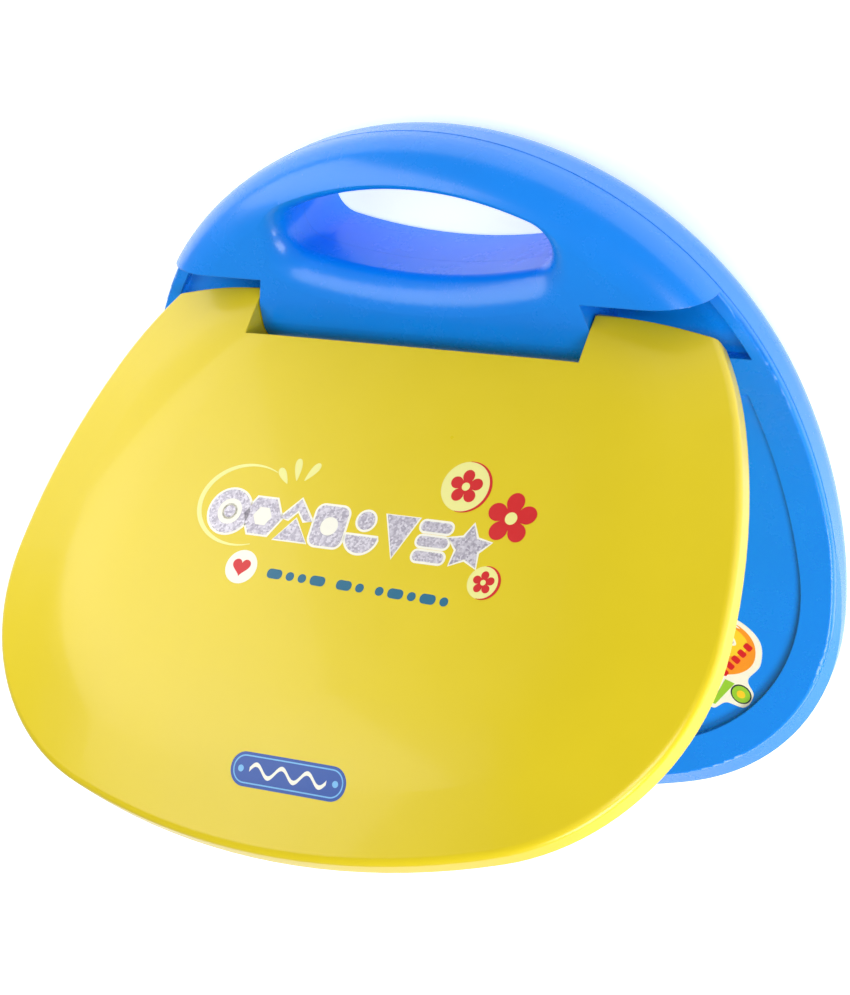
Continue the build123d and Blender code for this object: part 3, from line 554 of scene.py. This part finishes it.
lid_print("pale_swoosh", [swoosh(-38.8, -14.3, 16.6, 13.6, 62, 292, 1.7)], PRINT_CREAM)
for number, (x, y, length, turn) in enumerate(
    ((-28.4, -3.2, 6.4, 130), (-24.0, -0.6, 7.6, 100), (-18.6, -0.9, 7.4, 58)), start=1
):
    lid_print(f"splash_{number}", [leaf(x, y, length, 2.3, turn)], PRINT_CREAM)

for number, (x, y, size, ring) in enumerate(
    ((35.7, 0.1, 5.6, 8.3), (53.9, -8.4, 8.4, 0.0), (51.1, -29.6, 3.7, 5.3)), start=1
):
    lid_print(f"flower_{number}", [petals(x, y, size)], PRINT_RED, 2)
    lid_print(f"flower_{number}_eye", [circle(x, y, size * 0.24)], PRINT_CREAM, 3)
    if ring:
        lid_print(f"flower_{number}_halo", [circle(x, y, ring)], PRINT_CREAM, 1)
        lid_print(f"flower_{number}_arc", [swoosh(x, y, ring, ring, -100, 95, 0.9)], PRINT_RED, 2)

lid_print("heart_disc", [circle(-32.9, -34.7, 5.6)], PRINT_WHITE, 1)
lid_print("heart", [heart(-32.9, -34.6, 3.2)], PRINT_RED, 2)

DASHES = (5.4, 2.9, 2.9, 5.4, 0, 5.4, 2.9, 0, 2.9, 5.4, 2.9, 5.4, 2.9)


def dash_line():
    """Line of short bars and dots under the title."""
    x = -23.0
    for width in DASHES:
        if width:
            y = -35.6 - 0.026 * (x + 23.0)
            yield rounded_box(x + width / 2, y, width, 3.2 if width > 3 else 2.9, 1.4, -1.5)
            x += width + 1.5
        else:
            x += 2.6


for number, outline in enumerate(dash_line(), start=1):
    lid_print(f"dash_{number:02d}", [outline], PRINT_TEAL)

lid_print("badge", [rounded_box(4.4, -96.9, 40.5, 10.2, 5.0)], PRINT_BLUE, 1)
lid_print(
    "badge_line",
    [rounded_box(4.4, -96.9, 38.6, 8.4, 4.15), rounded_box(4.4, -96.9, 37.8, 7.6, 3.75)],
    PRINT_SKY,
    2,
)
lid_print("badge_wave", [wave(4.4, -96.9, 27.0, 1.7, 3, 1.3)], PRINT_WHITE, 2)
for number, x in enumerate((-12.2, 21.0), start=1):
    lid_print(f"badge_dot_{number}", [circle(x, -96.9, 1.0)], PRINT_SKY, 2)


# ---------------------------------------------------------------- deck sticker
STICKER_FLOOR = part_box("deck_sticker")[0][2]
STICKER_EDGE = [
    (62, -51), (68, -43), (78, -39.5), (89, -42.2), (95.4, -49), (94.6, -58), (89.5, -64.4), (90.8, -70),
    (87, -75.2), (80.6, -74.2), (75.6, -77), (72.4, -73), (74.4, -67), (66, -64), (61, -58),
]
sticker = print_plate(
    "sticker_backing", [smooth_loop(STICKER_EDGE)], PRINT_WHITE, "base", STICKER_FLOOR, 0.15 * MM
)
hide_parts("deck_sticker")


def sticker_print(name, loops, material, layer=1):
    """Print on the die-cut sticker."""
    print_plate(name, loops, material, "base", STICKER_FLOOR + 0.1 * MM, (0.05 + 0.05 * layer) * MM)


sticker_print(
    "sticker_cloud",
    [smooth_loop([(64, -51.5), (69.5, -44.8), (78.6, -41.6), (88.2, -43.8), (93.2, -49.6), (92.4, -57.2),
                  (86.6, -62.2), (77, -63.6), (67.2, -62)])],
    PRINT_ORANGE,
)
sticker_print(
    "sticker_sun",
    [smooth_loop([(66.5, -51.5), (72, -46), (79.6, -43.6), (87.4, -45.4), (91, -50), (88, -55), (78, -56.6),
                  (69, -57)])],
    PRINT_GOLD,
    2,
)
sticker_print("sticker_wave_edge", [wave(80.5, -51.4, 21, 2.6, 2.5, 4.2, 48)], PRINT_WHITE, 3)
sticker_print("sticker_wave", [wave(80.5, -51.4, 20, 2.6, 2.5, 2.2, 48)], PRINT_VIOLET, 4)
for number in range(5):
    reach = 3.6 * (number - 2)
    sticker_print(
        f"sticker_bar_{number + 1}",
        [rounded_box(86.2 + 0.67 * reach, -57.0 + 0.74 * reach, 2.4, 2.9, 0.7, 48)],
        PRINT_RED,
        3,
    )
sticker_print("sticker_ball_edge", [circle(86.4, -70.2, 3.7)], PRINT_DARK, 1)
sticker_print("sticker_ball", [circle(86.4, -70.2, 3.2)], PRINT_GREEN, 2)
sticker_print("sticker_ball_eye", [circle(86.4, -70.2, 1.5)], PRINT_GOLD, 3)
sticker_print("sticker_stem", [[(75.4, -75.2), (76.6, -75.4), (84.6, -66.4), (81.4, -65.2)]], PRINT_GREEN, 2)


# ---------------------------------------------------------------- prints on the keys and buttons
KEY_SIGNS = "1234567890+-×÷="
KEY_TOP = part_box("key_01")[1][2]
KEY_PRINT = 0.08 * MM
KEY_SIGN_SIZE = 12.5 * MM
KEY_SHAPE_SIZE = 4.2
YELLOW_KEYS = range(7, 13)
WHITE_BUTTON = 4
ARROW_PITCH = 9.0


def sign_mesh(sign, size):
    """Outline of a digit or arithmetic sign as a thin flat mesh."""
    text = bpy.data.curves.new("sign", "FONT")
    text.body = sign
    text.size = size
    text.align_x = "CENTER"
    text.align_y = "CENTER"
    text.extrude = KEY_PRINT / 2
    drawn = bpy.data.objects.new("sign_drawn", text)
    bpy.context.collection.objects.link(drawn)
    bpy.context.view_layer.update()
    mesh = bpy.data.meshes.new_from_object(drawn.evaluated_get(bpy.context.evaluated_depsgraph_get()))
    bpy.data.objects.remove(drawn)
    return mesh


def centre_of(node):
    """Plan centre of a node, in metres."""
    low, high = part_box(node)
    return (low[0] + high[0]) / 2, (low[1] + high[1]) / 2


for number in range(1, 19):
    node = f"key_{number:02d}"
    x, y = centre_of(node)
    ink = PRINT_BLUE if number in YELLOW_KEYS else PRINT_WHITE
    if number <= len(KEY_SIGNS):
        mesh = sign_mesh(KEY_SIGNS[number - 1], KEY_SIGN_SIZE)
        mesh.transform(Matrix.Translation((x, y, 0)))
        settle(f"{node}_print", mesh, ink, node, KEY_TOP + KEY_PRINT * 0.3)
    else:
        shape = (circle, heart, star)[number - 16](x / MM, y / MM, KEY_SHAPE_SIZE)
        print_plate(f"{node}_print", [shape], ink, node, KEY_TOP - SUNK, KEY_PRINT)

BUTTON_MARKS = (
    lambda x, y: [circle(x, y, 3.2), circle(x, y, 2.0)],
    lambda x, y: [polygon(x, y, 3.8, 3, 90)],
    lambda x, y: [rounded_box(x, y, 5.2, 5.2, 0.8)],
    lambda x, y: [star(x, y, 4.0)],
)
for number, mark in enumerate(BUTTON_MARKS, start=1):
    node = f"mode_button_{number}"
    x, y = centre_of(node)
    ink = PRINT_BLUE if number == WHITE_BUTTON else PRINT_WHITE
    print_plate(f"{node}_print", mark(x / MM, y / MM), ink, node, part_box(node)[1][2] - SUNK, KEY_PRINT)

play_x, play_y = centre_of("play_key")
for number in range(3):
    step = (number - 1) * ARROW_PITCH
    print_plate(
        f"play_key_print_{number + 1}",
        [polygon(play_x / MM + step, play_y / MM, 3.6, 3, 0)],
        PRINT_BLUE,
        "play_key",
        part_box("play_key")[1][2] - SUNK,
        KEY_PRINT,
    )


# ---------------------------------------------------------------- screen picture
LCD_FACE = closed_heights("lcd_module")[0]
DOT = 2.0
DOT_ROWS = {
    "1": ("..#..", ".##..", "..#..", "..#..", "..#..", "..#..", ".###."),
    "+": (".....", "..#..", "..#..", "#####", "..#..", "..#..", "....."),
    "2": (".###.", "#...#", "....#", "...#.", "..#..", ".#...", "#####"),
    "=": (".....", ".....", "#####", ".....", "#####", ".....", "....."),
    "3": (".###.", "#...#", "....#", "..##.", "....#", "#...#", ".###."),
}


def screen_dots():
    """Square picture dots of a simple sum, seen from the inside of the lid."""
    sum_shown = "1+2=3"
    start = -DOT * (6 * len(sum_shown) - 1) / 2
    for place, sign in enumerate(sum_shown):
        for row, line in enumerate(DOT_ROWS[sign]):
            for column, dot in enumerate(line):
                if dot == "#":
                    x = start + DOT * (6 * place + column + 0.5)
                    yield x, -36.0 - DOT * (row - 3), DOT * 0.86


dots = [
    [(x - s / 2, y - s / 2), (x + s / 2, y - s / 2), (x + s / 2, y + s / 2), (x - s / 2, y + s / 2)]
    for x, y, s in screen_dots()
]
print_plate("screen_dots", dots, PRINT_DARK, "lid", LCD_FACE - 0.06 * MM, 0.08 * MM)


# ---------------------------------------------------------------- floor and light
def make_floor():
    """Plain pale floor under the toy."""
    grid = bmesh.new()
    bmesh.ops.create_grid(grid, x_segments=2, y_segments=2, size=6.0)
    data = bpy.data.meshes.new("floor")
    grid.to_mesh(data)
    grid.free()
    floor = bpy.data.objects.new("floor", data)
    bpy.context.collection.objects.link(floor)
    material, tree, shader = new_material("floor")
    tint = ramp(tree, noise(tree, 3.0, 2.0), [(0.3, (0.93, 0.93, 0.93)), (0.7, (0.95, 0.95, 0.95))])
    tree.links.new(tint, shader.inputs["Base Color"])
    tree.links.new(tint, shader.inputs["Emission Color"])
    shader.inputs["Emission Strength"].default_value = 0.55
    shader.inputs["Roughness"].default_value = 0.9
    data.materials.append(material)


def area_light(name, right, up, back, distance, size, power):
    """Soft box that points at the toy; its direction is given along the camera's own axes."""
    data = bpy.data.lights.new(name, "AREA")
    data.shape = "RECTANGLE"
    data.size, data.size_y = size
    data.energy = power
    light = bpy.data.objects.new(name, data)
    bpy.context.collection.objects.link(light)
    away = (camera.matrix_world.to_3x3() @ Vector((right, up, back))).normalized()
    light.location = CAMERA_TARGET + away * distance
    light.rotation_mode = "QUATERNION"
    light.rotation_quaternion = (-away).to_track_quat("-Z", "Y")


def make_lights():
    """Bright studio surround with a soft box on each side."""
    world = bpy.data.worlds.new("studio")
    bpy.context.scene.world = world
    world.use_nodes = True
    world.node_tree.nodes["Background"].inputs["Color"].default_value = (1, 1, 1, 1)
    world.node_tree.nodes["Background"].inputs["Strength"].default_value = 0.30
    area_light("front_box", 0.25, -0.25, 1.0, 1.5, (0.7, 0.7), 9)
    area_light("left_box", -1.0, 0.3, 0.35, 0.44, (0.25, 0.5), 1.0)
    area_light("right_box", 1.0, 0.2, -0.05, 0.8, (0.3, 0.8), 22)
    area_light("low_box", 0.45, -1.0, 0.5, 0.9, (0.6, 0.3), 5)


make_floor()
make_lights()
bpy.context.scene.view_settings.view_transform = "Standard"
